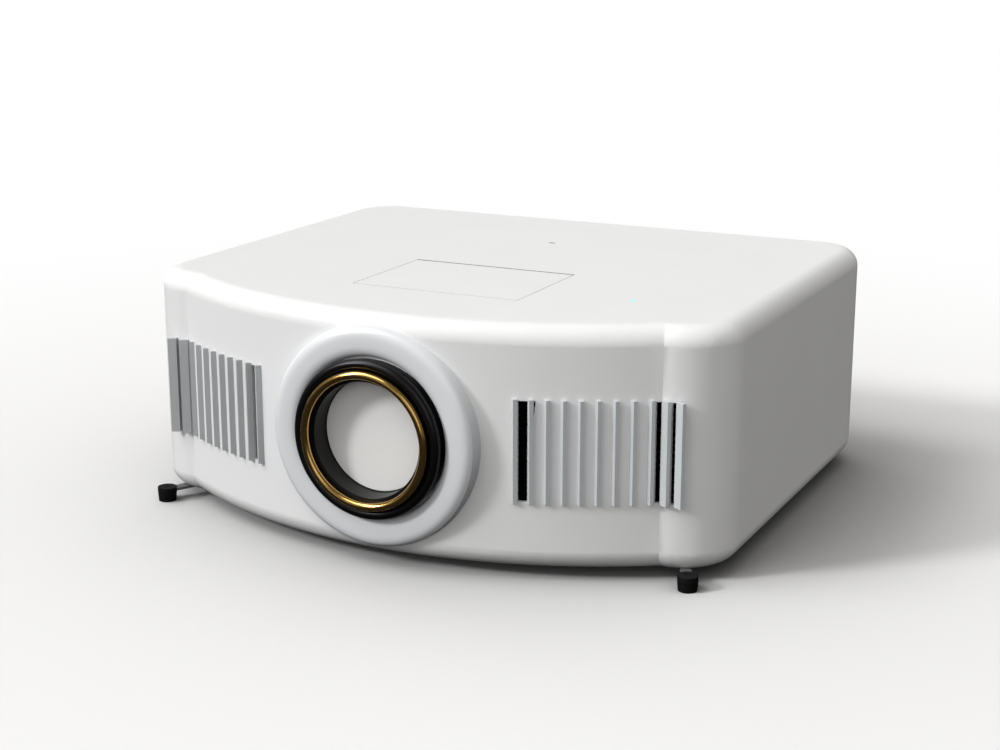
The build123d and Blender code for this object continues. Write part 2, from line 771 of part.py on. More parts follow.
# Shift carriage: slides sideways in the portal and carries the upright rails of the lens plate.
with BuildPart() as shift_carriage:
    span(around(0, carriage_half_width), (carriage_y, portal_y), around(lens_z, carriage_half_height))
    for side in (-1, 1):
        edge = side * (plate_half_width + fit_gap)
        rail = sorted((edge, edge + side * rail_thickness))
        lip = sorted((edge + side * rail_thickness, edge - side * rail_cover))
        half = carriage_half_height - rail_cover - rail_lip
        span(rail, (plate_y - fit_gap, carriage_y), around(lens_z, half))
        span(lip, (plate_y - fit_gap - rail_lip, plate_y - fit_gap), around(lens_z, half))
    rod_y(0, lens_z, lens_clear, (carriage_y, portal_y), mode=Mode.SUBTRACT)
finish("shift_carriage", shift_carriage)

# Lens barrel with its square plate and the ribs that hold the two turning rings.
with BuildPart() as lens_barrel:
    span(around(0, plate_half_width), (plate_y, carriage_y), around(lens_z, plate_half_height))
    rod_y(0, lens_z, barrel_radius, (barrel_front_y, barrel_front_y + barrel_length))
    for y in (focus_y, zoom_y):
        for step in (-1, 1):
            middle = y + step * (lens_ring_width / 2 + fit_gap + barrel_rib / 2)
            rod_y(0, lens_z, barrel_radius + barrel_rib_height, around(middle, barrel_rib / 2))
    rod_y(0, lens_z, barrel_radius - barrel_wall, (barrel_front_y, barrel_front_y + barrel_length),
          mode=Mode.SUBTRACT)
finish("lens_barrel", lens_barrel)
glass_radius = barrel_radius - barrel_wall
for glass_name, middle, thickness in (
    ("front_glass", barrel_front_y + front_glass_thickness, front_glass_thickness),
    ("rear_glass", barrel_front_y + barrel_length - rear_glass_thickness, rear_glass_thickness),
):
    with BuildPart() as glass:
        rod_y(0, lens_z, glass_radius, around(middle, thickness / 2))
        fillet(glass.edges().filter_by(GeomType.CIRCLE), glass_rounding)
    finish(glass_name, glass)
for ring_name, middle in (("focus_ring", focus_y), ("zoom_ring", zoom_y)):
    with BuildPart() as turn_ring:
        rod_y(0, lens_z, barrel_radius + lens_ring_wall, around(middle, lens_ring_width / 2))
        span(around(0, lever_thickness / 2), around(middle, lever_width / 2),
             (lens_z + barrel_radius + lens_ring_wall / 2, lens_z + lever_reach))
        rod_y(0, lens_z, barrel_radius + running_gap, around(middle, lens_ring_width / 2),
              mode=Mode.SUBTRACT)
    finish(ring_name, turn_ring)

# Light engine: a hollow housing on legs behind the lens, with an arm out to the lamp axis.
engine_front_y = barrel_front_y + barrel_length + engine_gap
engine_ys = (engine_front_y, engine_front_y + engine_depth)
engine_zs = around(lens_z, engine_height / 2)
arm_ys = (engine_front_y + arm_front, engine_front_y + arm_front + arm_width)
arm_zs = around(lens_z, arm_height / 2)
wheel_plate_y = arm_ys[1]
with BuildPart() as light_engine:
    span(around(0, engine_half_width), engine_ys, engine_zs)
    span((lamp_x - arm_end, 0), arm_ys, arm_zs)
    span(around(lamp_x, wheel_plate_width / 2), (wheel_plate_y - engine_wall, wheel_plate_y),
         (lens_z - wheel_plate_drop, lens_z + wheel_plate_rise))
    span(around(0, engine_half_width - engine_wall), (engine_ys[0] + engine_wall,
                                                      engine_ys[1] - engine_wall),
         around(lens_z, engine_height / 2 - engine_wall), mode=Mode.SUBTRACT)
    span((lamp_x - arm_end + engine_wall, 0), (arm_ys[0] + engine_wall, arm_ys[1] - engine_wall),
         around(lens_z, arm_height / 2 - engine_wall), mode=Mode.SUBTRACT)
    rod_y(0, lens_z, window_radius, (engine_ys[0], engine_ys[0] + engine_wall), mode=Mode.SUBTRACT)
    rod_y(lamp_x, lens_z, beam_radius, (wheel_plate_y - engine_wall, wheel_plate_y), mode=Mode.SUBTRACT)
    for side in (-1, 1):
        for y in (engine_ys[0] + leg_width, engine_ys[1] - leg_width):
            span(around(side * (engine_half_width - leg_width), leg_width / 2), around(y, leg_width / 2),
                 (pan_top, engine_zs[0]))
finish("light_engine", light_engine)
with BuildPart() as prism:
    with BuildSketch(Plane.XY.offset(engine_zs[0] + engine_wall)):
        with BuildLine():
            Polyline((-prism_size / 2, engine_ys[0] + prism_size),
                     (prism_size / 2, engine_ys[0] + prism_size),
                     (prism_size / 2, engine_ys[0] + 2 * prism_size), close=True)
        make_face()
    extrude(amount=prism_height)
finish("prism", prism)
with BuildPart() as heat_sink:
    sink_y = engine_ys[0] + engine_depth / 2
    span((engine_half_width, engine_half_width + engine_wall), around(sink_y, sink_width / 2),
         around(lens_z, sink_height / 2))
    for k in range(sink_fins):
        middle = sink_y + (k - (sink_fins - 1) / 2) * (sink_width - sink_fin) / (sink_fins - 1)
        span((engine_half_width + engine_wall, engine_half_width + sink_depth),
             around(middle, sink_fin / 2),
             around(lens_z, sink_height / 2))
finish("heat_sink", heat_sink)

# Colour wheel and its motor, behind the beam hole at the end of the arm.
wheel_z = lens_z - wheel_drop
motor_ys = (wheel_plate_y, wheel_plate_y + motor_length)
wheel_ys = (motor_ys[1] + wheel_clearance, motor_ys[1] + wheel_clearance + wheel_thickness)
with BuildPart() as wheel_motor:
    rod_y(lamp_x, wheel_z, motor_radius, motor_ys)
    rod_y(lamp_x, wheel_z, wheel_shaft_radius + running_gap, (motor_ys[1] - wheel_shaft_length,
                                                              motor_ys[1]),
          mode=Mode.SUBTRACT)
finish("wheel_motor", wheel_motor)
with BuildPart() as colour_wheel:
    rod_y(lamp_x, wheel_z, wheel_radius, wheel_ys)
    rod_y(lamp_x, wheel_z, wheel_hub_radius, (wheel_ys[0] - wheel_clearance / 2,
                                              wheel_ys[1] + wheel_clearance))
    rod_y(lamp_x, wheel_z, wheel_shaft_radius, (motor_ys[1] - wheel_shaft_length + fit_gap, wheel_ys[0]))
finish("colour_wheel", colour_wheel)

# Lamp cartridge: an open carrier that is drawn out through the rear panel by the bar of its grip.
lamp_xs = around(lamp_x, lamp_width / 2)
lamp_ys = (panel_face_y - lamp_length, panel_face_y)
lamp_zs = around(lens_z, lamp_height / 2)
with BuildPart() as lamp_cartridge:
    span(lamp_xs, lamp_ys, (lamp_zs[0], lamp_zs[0] + lamp_floor))
    span(lamp_xs, (lamp_ys[0], lamp_ys[0] + lamp_floor), lamp_zs)
    span(lamp_xs, (lamp_ys[1] - lamp_floor, lamp_ys[1]), lamp_zs)
    for xs in ((lamp_xs[0], lamp_xs[0] + filter_wall), (lamp_xs[1] - filter_wall, lamp_xs[1])):
        span(xs, lamp_ys, (lamp_zs[0], lamp_zs[0] + lamp_side))
    span(around(lamp_x, grip_width / 2 + lamp_floor), (lamp_ys[1] - grip_depth - lamp_floor, lamp_ys[1]),
         around(lens_z, grip_height / 2 + lamp_floor))
    span(around(lamp_x, grip_width / 2), (lamp_ys[1] - grip_depth, lamp_ys[1]),
         around(lens_z, grip_height / 2),
         mode=Mode.SUBTRACT)
    span(around(lamp_x, grip_width / 2), (lamp_ys[1] - grip_bar_depth, lamp_ys[1]),
         around(lens_z, grip_bar / 2))
    rod_y(lamp_x, lens_z, lamp_window, (lamp_ys[0], lamp_ys[0] + lamp_floor), mode=Mode.SUBTRACT)
finish("lamp_cartridge", lamp_cartridge)
lamp_axis = Axis((lamp_x, 0, lens_z), (0, 1, 0))
lamp_section = Plane(origin=(lamp_x, 0, lens_z), x_dir=(0, 1, 0), z_dir=(1, 0, 0))
bowl_y = lamp_ys[0] + lamp_floor
neck_radius = burner_radius + reflector_wall
with BuildPart() as lamp_reflector:
    with BuildSketch(lamp_section):
        with BuildLine():
            Line((bowl_y, reflector_radius - reflector_wall), (bowl_y, reflector_radius + reflector_rim))
            Line((bowl_y, reflector_radius + reflector_rim), (bowl_y + reflector_wall,
                                                              reflector_radius + reflector_rim))
            Line((bowl_y + reflector_wall, reflector_radius + reflector_rim),
                 (bowl_y + reflector_wall, reflector_radius))
            ThreePointArc((bowl_y + reflector_wall, reflector_radius),
                          (bowl_y + reflector_depth * bowl_outer_share,
                           reflector_radius * bowl_outer_share),
                          (bowl_y + reflector_depth, neck_radius))
            Line((bowl_y + reflector_depth, neck_radius), (bowl_y + reflector_depth + reflector_neck,
                                                           neck_radius))
            Line((bowl_y + reflector_depth + reflector_neck, neck_radius),
                 (bowl_y + reflector_depth + reflector_neck, burner_radius))
            Line((bowl_y + reflector_depth + reflector_neck, burner_radius),
                 (bowl_y + reflector_depth - reflector_wall, burner_radius))
            ThreePointArc((bowl_y + reflector_depth - reflector_wall, burner_radius),
                          (bowl_y + reflector_depth * bowl_inner_share,
                           reflector_radius * bowl_inner_share),
                          (bowl_y, reflector_radius - reflector_wall))
        make_face()
    revolve(axis=lamp_axis)
finish("lamp_reflector", lamp_reflector)
with BuildPart() as lamp_burner:
    burner_ys = (bowl_y + reflector_depth / 4, bowl_y + reflector_depth / 4 + burner_length)
    rod_y(lamp_x, lens_z, burner_radius, burner_ys)
    with Locations((lamp_x, burner_ys[0] + bulb_radius, lens_z)):
        Sphere(bulb_radius)
finish("lamp_burner", lamp_burner)


def fan_frame():
    """Fan frame standing on its own XY plane, with its spider below."""
    with BuildPart() as frame:
        with BuildSketch():
            RectangleRounded(fan_size, fan_size, fan_corner)
            Circle(fan_bore, mode=Mode.SUBTRACT)
        extrude(amount=fan_depth)
        with BuildSketch():
            Circle(fan_hub_radius)
            Rectangle(2 * (fan_bore + spoke_overlap), spoke_width)
            Rectangle(spoke_width, 2 * (fan_bore + spoke_overlap))
            Circle(fan_shaft_radius + running_gap, mode=Mode.SUBTRACT)
        extrude(amount=spider_thickness)
    return frame.part


def fan_rotor():
    """Fan rotor in the place that it takes in the frame: a hub with turned blades and a shaft."""
    bottom = spider_thickness + fan_end_gap
    height = fan_depth - bottom - fan_end_gap
    with BuildPart() as blades:
        with PolarLocations((fan_hub_radius + fan_blade_radius) / 2, fan_blade_count):
            with Locations(Location((0, 0, bottom + height / 2), (fan_blade_turn, 0, 0))):
                Box(fan_blade_radius - fan_hub_radius + 2 * blade_root, fan_blade_thickness,
                    fan_blade_width)
        with Locations((0, 0, bottom + height / 2)):
            Cylinder(fan_blade_radius, height, mode=Mode.INTERSECT)
    with BuildPart() as rotor:
        rod_z(0, 0, fan_hub_radius, (bottom, bottom + height))
        add(blades.part)
        rod_z(0, 0, fan_shaft_radius, (fan_end_gap / 2, bottom))
    return rotor.part


# Intake fan beside the filter, on two legs, and exhaust fan on the rear panel.
intake_place = Location((intake_x + fan_depth / 2, filter_y, lens_z), (0, -90, 0))
exhaust_place = Location((exhaust_x, panel_back_y - fan_depth, lens_z), (-90, 0, 0))
with BuildPart() as intake_fan_frame:
    add(fan_frame().moved(intake_place))
    for side in (-1, 1):
        span(around(intake_x, fan_depth / 2), around(filter_y + side * (fan_size / 2 - fan_leg_width),
                                                     fan_leg_width / 2),
             (pan_top, lens_z - fan_size / 2 + spider_thickness))
finish("intake_fan_frame", intake_fan_frame)
with BuildPart() as intake_fan_rotor:
    add(fan_rotor().moved(intake_place))
finish("intake_fan_rotor", intake_fan_rotor)
with BuildPart() as exhaust_fan_frame:
    add(fan_frame().moved(exhaust_place))
finish("exhaust_fan_frame", exhaust_fan_frame)
with BuildPart() as exhaust_fan_rotor:
    add(fan_rotor().moved(exhaust_place))
finish("exhaust_fan_rotor", exhaust_fan_rotor)

# Filter tray with its slotted front, drawn out of the left side, and the foam inside it.
with BuildPart() as filter_tray:
    span((left_x, left_x + filter_depth), filter_ys, filter_zs)
    span((left_x + filter_wall, left_x + filter_depth), around(filter_y, filter_width / 2 - filter_wall),
         around(lens_z, filter_height / 2 - filter_wall), mode=Mode.SUBTRACT)
    for k in range(filter_slot_count):
        middle = filter_y + (k - (filter_slot_count - 1) / 2) * filter_slot_pitch
        span((left_x, left_x + filter_wall), around(middle, filter_slot_width / 2),
             around(lens_z, filter_height / 2 - filter_slot_margin), mode=Mode.SUBTRACT)
finish("filter_tray", filter_tray)
with BuildPart() as filter_foam:
    span((left_x + filter_wall, left_x + filter_wall + foam_depth),
         around(filter_y, filter_width / 2 - filter_wall),
         around(lens_z, filter_height / 2 - filter_wall))
finish("filter_foam", filter_foam)

# Rear panel with the fan grille, the socket window and the openings for the controls and the lamp cartridge.
window_xs = (min(x - width / 2 for x, z, width, height in sockets) - window_margin,
             max(x + width / 2 for x, z, width, height in sockets) + window_margin)
window_zs = (min(z - height / 2 for x, z, width, height in sockets) - window_margin,
             max(z + height / 2 for x, z, width, height in sockets) + window_margin)
button_xs = [button_first_x + k * button_pitch for k in range(button_count)]
with BuildPart() as rear_panel:
    with BuildSketch(Plane.XZ.offset(-panel_face_y)):
        with Locations((0, lens_z)):
            RectangleRounded(panel_width, panel_height, panel_corner)
        with Locations((lamp_x, lens_z)):
            Rectangle(lamp_width + 2 * slide_gap, lamp_height + 2 * slide_gap, mode=Mode.SUBTRACT)
        with Locations(((window_xs[0] + window_xs[1]) / 2, (window_zs[0] + window_zs[1]) / 2)):
            Rectangle(window_xs[1] - window_xs[0], window_zs[1] - window_zs[0], mode=Mode.SUBTRACT)
        for x in jack_xs:
            with Locations((x, jack_z)):
                Circle(jack_radius + slide_gap, mode=Mode.SUBTRACT)
        for x in button_xs:
            with Locations((x, button_z)):
                Circle(button_radius + fit_gap, mode=Mode.SUBTRACT)
        with Locations((controls_x, inlet_z)):
            Rectangle(inlet_width + 2 * slide_gap, inlet_height + 2 * slide_gap, mode=Mode.SUBTRACT)
        with Locations((controls_x, switch_z)):
            Rectangle(switch_width + 2 * (switch_frame_wall + fit_gap),
                      2 * (switch_radius + switch_frame_wall + fit_gap),
                      mode=Mode.SUBTRACT)
        for k in range(grille_count):
            with Locations((exhaust_x, lens_z + (k - (grille_count - 1) / 2) * (grille_bar + grille_slot))):
                Rectangle(grille_width, grille_slot, mode=Mode.SUBTRACT)
        for side in (-1, 1):
            with Locations((side * panel_screw_x, panel_screw_z)):
                Circle(rim_screw_radius + slide_gap, mode=Mode.SUBTRACT)
    extrude(amount=panel_thickness)
finish("rear_panel", rear_panel)

# Socket plate: the sheet behind the window of the rear panel, with a hole for each signal socket.
with BuildPart() as socket_plate:
    span((window_xs[0] - plate_lap, window_xs[1] + plate_lap), (panel_back_y - plate_thickness, panel_back_y),
         (window_zs[0] - plate_lap, window_zs[1] + plate_lap))
    for x, z, width, height in sockets:
        span(around(x, width / 2 + slide_gap), (panel_back_y - plate_thickness, panel_back_y),
             around(z, height / 2 + slide_gap), mode=Mode.SUBTRACT)
finish("socket_plate", socket_plate)

# Screws of one kind: up through the lip of the upper case into the pan, and through the rear panel.
with BuildPart() as case_screws:
    for x, y in rim_points:
        rod_z(x, y, rim_head_radius, (base_z + fit_gap, base_z + rim_head_depth))
        rod_z(x, y, rim_screw_radius, (base_z + rim_head_depth, pan_top + rim_boss_height - fit_gap))
    for side in (-1, 1):
        rod_y(side * panel_screw_x, panel_screw_z, rim_head_radius,
              (panel_face_y, panel_face_y + rim_head_depth))
        rod_y(side * panel_screw_x, panel_screw_z, rim_screw_radius,
              (panel_back_y - rim_boss_height + fit_gap, panel_face_y))
finish("case_screws", case_screws)

# Main board behind the panel, on four standoffs, with its sockets.
board_ys = (panel_back_y - board_gap - board_thickness, panel_back_y - board_gap)
standoff_xs = (standoff_inset - board_left, board_right - standoff_inset)
standoff_zs = (board_bottom + standoff_inset, board_top - standoff_inset)
with BuildPart() as main_board:
    span((-board_left, board_right), board_ys, (board_bottom, board_top))
finish("main_board", main_board)
with BuildPart() as board_standoffs:
    for x in standoff_xs:
        for z in standoff_zs:
            rod_y(x, z, standoff_radius, (board_ys[1], panel_back_y))
finish("board_standoffs", board_standoffs)
with BuildPart() as signal_sockets:
    for x, z, width, height in sockets:
        span(around(x, width / 2), (board_ys[1], panel_face_y), around(z, height / 2))
        span(around(x, width / 2 - socket_wall), (panel_face_y - socket_recess, panel_face_y),
             around(z, height / 2 - socket_wall), mode=Mode.SUBTRACT)
finish("signal_sockets", signal_sockets)
with BuildPart() as audio_sockets:
    for x in jack_xs:
        rod_y(x, jack_z, jack_radius, (board_ys[1], panel_face_y))
        rod_y(x, jack_z, jack_bore, (panel_face_y - socket_recess, panel_face_y), mode=Mode.SUBTRACT)
finish("audio_sockets", audio_sockets)

# Control buttons with a flange behind the panel, and the keypad board that they press on.
flange_back_y = panel_back_y - button_flange_thickness
for k, x in enumerate(button_xs):
    with BuildPart() as button:
        rod_y(x, button_z, button_radius, (panel_back_y, panel_face_y + button_reach))
        rod_y(x, button_z, button_radius + button_flange, (flange_back_y, panel_back_y))
        fillet(button.faces().sort_by(Axis.Y)[-1].edges(), button_edge)
    finish("button_" + str(k + 1), button)
keypad_y = flange_back_y - button_travel - keypad_gap
with BuildPart() as keypad_board:
    keypad_xs = (button_xs[0] - keypad_margin, button_xs[-1] + keypad_margin)
    span(keypad_xs, (keypad_y - board_thickness, keypad_y), around(button_z, keypad_margin - wall))
    for x in [(button_xs[k] + button_xs[k + 1]) / 2 for k in (0, button_count - 2)]:
        rod_y(x, button_z, standoff_radius, (keypad_y, panel_back_y))
finish("keypad_board", keypad_board)

# Power inlet with its three pins, and the rocker switch in its frame.
with BuildPart() as power_inlet:
    span(around(controls_x, inlet_width / 2), (panel_face_y - inlet_depth, panel_face_y),
         around(inlet_z, inlet_height / 2))
    span(around(controls_x, inlet_width / 2 - inlet_wall), (panel_face_y - inlet_recess, panel_face_y),
         around(inlet_z, inlet_height / 2 - inlet_wall), mode=Mode.SUBTRACT)
    for xs in ((-inlet_width / 2 - wall, -inlet_width / 2), (inlet_width / 2, inlet_width / 2 + wall)):
        span((controls_x + xs[0], controls_x + xs[1]), (panel_back_y - wall, panel_back_y),
             around(inlet_z, inlet_height / 2))
finish("power_inlet", power_inlet)
with BuildPart() as inlet_pins:
    for x, z in ((-pin_spacing / 2, -pin_width / 2), (pin_spacing / 2, -pin_width / 2), (0, pin_width / 2)):
        span(around(controls_x + x, pin_thickness / 2), (panel_face_y - inlet_recess,
                                                         panel_face_y - pin_width),
             around(inlet_z + z, pin_width / 2))
finish("inlet_pins", inlet_pins)
switch_y = panel_face_y - switch_depth
with BuildPart() as switch_frame:
    frame_xs = around(controls_x, switch_width / 2 + fit_gap + switch_frame_wall)
    frame_zs = around(switch_z, switch_radius + fit_gap + switch_frame_wall)
    span(frame_xs, (switch_y - switch_radius - wall, panel_face_y), frame_zs)
    span((frame_xs[0] - wall, frame_xs[1] + wall), (panel_back_y - wall, panel_back_y), frame_zs)
    span(around(controls_x, switch_width / 2 + fit_gap), (switch_y - switch_radius - fit_gap, panel_face_y),
         around(switch_z, switch_radius + fit_gap), mode=Mode.SUBTRACT)
    with Locations((controls_x, switch_y, switch_z)):
        Cylinder(switch_pivot_radius + running_gap, switch_width + 2 * switch_frame_wall,
                 rotation=(0, 90, 0),
                 mode=Mode.SUBTRACT)
finish("switch_frame", switch_frame)
with BuildPart() as power_switch:
    with BuildSketch(Plane(origin=(controls_x - switch_width / 2, switch_y, switch_z), x_dir=(0, 1, 0),
                           z_dir=(1, 0, 0))):
        Circle(switch_radius)
        with BuildSketch(mode=Mode.PRIVATE) as wedge:
            with BuildLine():
                drop = switch_radius * tan(radians(switch_tilt))
                Polyline((-switch_radius, -switch_radius), (switch_face - drop, -switch_radius),
                         (switch_face, 0),
                         (switch_face - drop, switch_radius), (-switch_radius, switch_radius), close=True)
            make_face()
        add(wedge.sketch, rotation=switch_tilt, mode=Mode.INTERSECT)
    extrude(amount=switch_width)
    with Locations((controls_x, switch_y, switch_z)):
        Cylinder(switch_pivot_radius, switch_width + switch_frame_wall, rotation=(0, 90, 0))
finish("power_switch", power_switch)

# Power supply: a board on four standoffs, and its choke, transformer and capacitors.
supply_xs = around(supply_x, supply_width / 2)
supply_ys = around(supply_y, supply_length / 2)
supply_z = pan_top + supply_lift
with BuildPart() as supply_board:
    span(supply_xs, supply_ys, (supply_z, supply_z + board_thickness))
    for x in (supply_xs[0] + supply_leg_inset, supply_xs[1] - supply_leg_inset):
        for y in (supply_ys[0] + supply_leg_inset, supply_ys[1] - supply_leg_inset):
            rod_z(x, y, standoff_radius, (pan_top, supply_z))
finish("supply_board", supply_board)
with BuildPart() as supply_parts:
    deck_z = supply_z + board_thickness
    for x, y in choke_places:
        span(around(supply_x + x, choke_size / 2), around(supply_y + y, choke_size / 2),
             (deck_z, deck_z + choke_size))
    for x, y in capacitor_places:
        rod_z(supply_x + x, supply_y + y, capacitor_radius, (deck_z, deck_z + capacitor_height))
    span(around(supply_x + fin_place[0], fin_thickness / 2), around(supply_y + fin_place[1],
                                                                    fin_length / 2),
         (deck_z, deck_z + choke_size))
finish("supply_parts", supply_parts)
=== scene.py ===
import json
import logging
import math
from dataclasses import dataclass
from enum import Enum

import bmesh
import bpy
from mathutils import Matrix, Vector


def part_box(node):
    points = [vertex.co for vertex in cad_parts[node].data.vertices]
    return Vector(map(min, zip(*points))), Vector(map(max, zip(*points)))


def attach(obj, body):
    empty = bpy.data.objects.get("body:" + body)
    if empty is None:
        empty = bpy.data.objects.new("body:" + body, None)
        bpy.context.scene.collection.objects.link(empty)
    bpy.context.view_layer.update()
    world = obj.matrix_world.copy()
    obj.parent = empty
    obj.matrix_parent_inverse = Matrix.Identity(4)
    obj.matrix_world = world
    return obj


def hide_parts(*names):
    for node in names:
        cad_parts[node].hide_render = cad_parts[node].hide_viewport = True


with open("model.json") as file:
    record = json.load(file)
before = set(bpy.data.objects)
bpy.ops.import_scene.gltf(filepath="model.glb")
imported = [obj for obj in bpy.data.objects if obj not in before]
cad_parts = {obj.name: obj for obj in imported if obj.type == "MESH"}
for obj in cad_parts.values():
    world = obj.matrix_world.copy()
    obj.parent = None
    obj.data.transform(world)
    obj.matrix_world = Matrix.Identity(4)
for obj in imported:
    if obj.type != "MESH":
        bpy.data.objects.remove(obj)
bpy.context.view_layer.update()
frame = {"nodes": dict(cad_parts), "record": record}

MM = 0.001
MERGE = 1e-6
SHARP = math.radians(28)
SHARP_TURNED = math.radians(40)
# A screw head is a flat face of many sides that looks down or to the rear.
FLAT_WITHIN = math.radians(1)
HEAD_SIDES = 12
HEAD_FACING = 0.9
Profile = list[tuple[float, float]]
Sweep = tuple[int, int, int]
LOG = logging.getLogger("projector")
BODY_OF = {n: body for body, names in frame["record"]["behaviour"]["bodies"].items() for n in names}
SLOT_OF = {s["node"]: s["material_slot"] for s in frame["record"]["subparts"]}


class Surface(Enum):
    """How a surface was made, which sets its pattern."""

    MOULDED = "moulded grain"
    TURNED = "turned rings"
    BRUSHED = "brushed lines"
    CIRCUIT = "circuit board"
    CELLS = "open foam cells"
    CLEAR = "clear glass"
    LIT = "lit window"


# How far the grain is drawn out along each axis, for surfaces with a direction.
STRETCH = {Surface.BRUSHED: (1.0, 1.0, 0.04), Surface.TURNED: (0.05, 1.0, 0.05)}
# Surfaces whose colour varies only over wide patches.
EVEN = (Surface.MOULDED, Surface.CLEAR, Surface.LIT)
WIDE_PATCH = 60
BRICK_SCALE = 4
COAT_ROUGHNESS = 0.2
ROUGH_SPREAD = 0.06
ROUGH_LEAST = 0.02
BUMP_STRENGTH = 0.35
GLASS_THROUGH = 0.85
WINDOW_GLOW = 1.6
FINE_DETAIL = 4.0
WIDE_DETAIL = 2.0
BRICK_TONES = {"Color1": 1.0, "Color2": 0.6, "Mortar": 0.0}
# Sockets of the Mix node when it mixes colours.
MIX_A, MIX_B, MIX_RESULT = 6, 7, 2


def linear(code: str) -> tuple[float, float, float, float]:
    """Turns an sRGB hex colour into linear values.

    Args:
        code: six hex digits.

    Returns:
        Linear red, green and blue, and full opacity.
    """
    parts = [int(code[i:i + 2], 16) / 255 for i in (0, 2, 4)]
    return (*[c / 12.92 if c <= 0.04045 else ((c + 0.055) / 1.055) ** 2.4 for c in parts], 1.0)


def grey(value: float) -> tuple[float, float, float, float]:
    """Gives an opaque grey.

    Args:
        value: its linear tone.

    Returns:
        Red, green and blue alike, and full opacity.
    """
    return (value, value, value, 1.0)


def add_node(tree: bpy.types.NodeTree, kind: str, links: dict | None = None, **settings) -> bpy.types.Node:
    """Adds a node with its settings and links.

    Args:
        tree: the node tree.
        kind: the node's type name.
        links: input name or number to the output socket that feeds it.
        settings: attributes, or input values where the node has an input of that name.

    Returns:
        The new node.
    """
    node = tree.nodes.new(kind)
    for name, value in settings.items():
        socket = name.replace("_", " ").title()
        if hasattr(node, name):
            setattr(node, name, value)
        else:
            node.inputs[socket].default_value = value
    for name, source in (links or {}).items():
        tree.links.new(source, node.inputs[name])
    return node


@dataclass(frozen=True)
class Finish:
    """A real material and the way its surface was made."""

    name: str
    colour: str
    second: str
    surface: Surface = Surface.MOULDED
    roughness: float = 0.45
    metallic: float = 0.0
    grain_mm: float = 0.9
    depth_mm: float = 0.02
    coat: float = 0.0
    ior: float = 1.5
    shine: float = 0.5
    # Heights over which the colour turns to the second; used for painted shade.
    rise_mm: tuple[float, float] | None = None

    def material(self) -> bpy.types.Material:
        """Builds the material once and returns it."""
        found = bpy.data.materials.get(self.name)
        if found:
            return found
        made = bpy.data.materials.new(self.name)
        made.use_nodes = True
        made.diffuse_color = linear(self.colour)
        tree = made.node_tree
        shader = tree.nodes["Principled BSDF"]
        shader.inputs["Metallic"].default_value = self.metallic
        shader.inputs["Coat Weight"].default_value = self.coat
        shader.inputs["Coat Roughness"].default_value = COAT_ROUGHNESS
        if not self.metallic:
            shader.inputs["IOR"].default_value = self.ior
            shader.inputs["Specular IOR Level"].default_value = self.shine
        place, fine, broad = self.patterns(tree)
        shade = broad if self.surface in EVEN else fine
        # A rise blends from the colour low down to the second high up: painted shade.
        if self.rise_mm:
            height = add_node(tree, "ShaderNodeSeparateXYZ", {"Vector": place}).outputs["Z"]
            shade = add_node(tree, "ShaderNodeMapRange", {"Value": height}, from_min=self.rise_mm[0] * MM,
                             from_max=self.rise_mm[1] * MM).outputs["Result"]
        mix = add_node(tree, "ShaderNodeMix", {"Factor": shade}, data_type="RGBA")
        mix.inputs[MIX_A].default_value = linear(self.colour)
        mix.inputs[MIX_B].default_value = linear(self.second)
        tree.links.new(mix.outputs[MIX_RESULT], shader.inputs["Base Color"])
        rough = add_node(tree, "ShaderNodeMapRange", {"Value": fine})
        rough.inputs["To Min"].default_value = max(ROUGH_LEAST, self.roughness - ROUGH_SPREAD)
        rough.inputs["To Max"].default_value = self.roughness + ROUGH_SPREAD
        tree.links.new(rough.outputs["Result"], shader.inputs["Roughness"])
        bump = add_node(tree, "ShaderNodeBump", {"Height": fine}, strength=BUMP_STRENGTH,
                        distance=self.depth_mm * MM)
        tree.links.new(bump.outputs["Normal"], shader.inputs["Normal"])
        if self.surface is Surface.CLEAR:
            shader.inputs["Transmission Weight"].default_value = GLASS_THROUGH
        if self.surface is Surface.LIT:
            shader.inputs["Emission Color"].default_value = linear(self.colour)
            shader.inputs["Emission Strength"].default_value = WINDOW_GLOW
        return made

    def patterns(self, tree: bpy.types.NodeTree) -> tuple[bpy.types.NodeSocket, ...]:
        """Adds the surface's patterns.

        Args:
            tree: the material's node tree.

        Returns:
            The place on the surface, its fine pattern and its wide patches.
        """
        place = add_node(tree, "ShaderNodeTexCoord").outputs["Object"]
        if self.surface in STRETCH:
            mapping = add_node(tree, "ShaderNodeMapping", {"Vector": place})
            mapping.inputs["Scale"].default_value = STRETCH[self.surface]
            place = mapping.outputs["Vector"]
        scale = 1 / (self.grain_mm * MM)
        at = {"Vector": place}
        if self.surface is Surface.CELLS:
            fine = add_node(tree, "ShaderNodeTexVoronoi", at, scale=scale).outputs["Distance"]
        elif self.surface is Surface.CIRCUIT:
            brick = add_node(tree, "ShaderNodeTexBrick", at, scale=scale / BRICK_SCALE)
            for name, tone in BRICK_TONES.items():
                brick.inputs[name].default_value = grey(tone)
            fine = brick.outputs["Color"]
        else:
            fine = add_node(tree, "ShaderNodeTexNoise", at, scale=scale, detail=FINE_DETAIL).outputs["Fac"]
        broad = add_node(tree, "ShaderNodeTexNoise", at, scale=scale / WIDE_PATCH,
                         detail=WIDE_DETAIL).outputs["Fac"]
        return place, fine, broad


# Painted ABS: an even satin white with a faint moulded grain.
WHITE_ABS = Finish("white_abs", "E8E9E9", "E4E5E5", roughness=0.45, shine=0.38)
# Silver-grey lacquer on ABS: cooler and a little darker than the case.
SILVER_LACQUER = Finish("silver_lacquer", "E0E2E5", "DBDDE0", roughness=0.36, coat=0.2)
# The ring's outer wall: grey at the underside, lightening upwards to the lacquer's tone. This is painted
# shade.
RING_WALL_PAINTED_SHADE = Finish("ring_wall_painted_shade", "85878A", "E0E2E5", roughness=0.42, rise_mm=(35.0, 150.0))
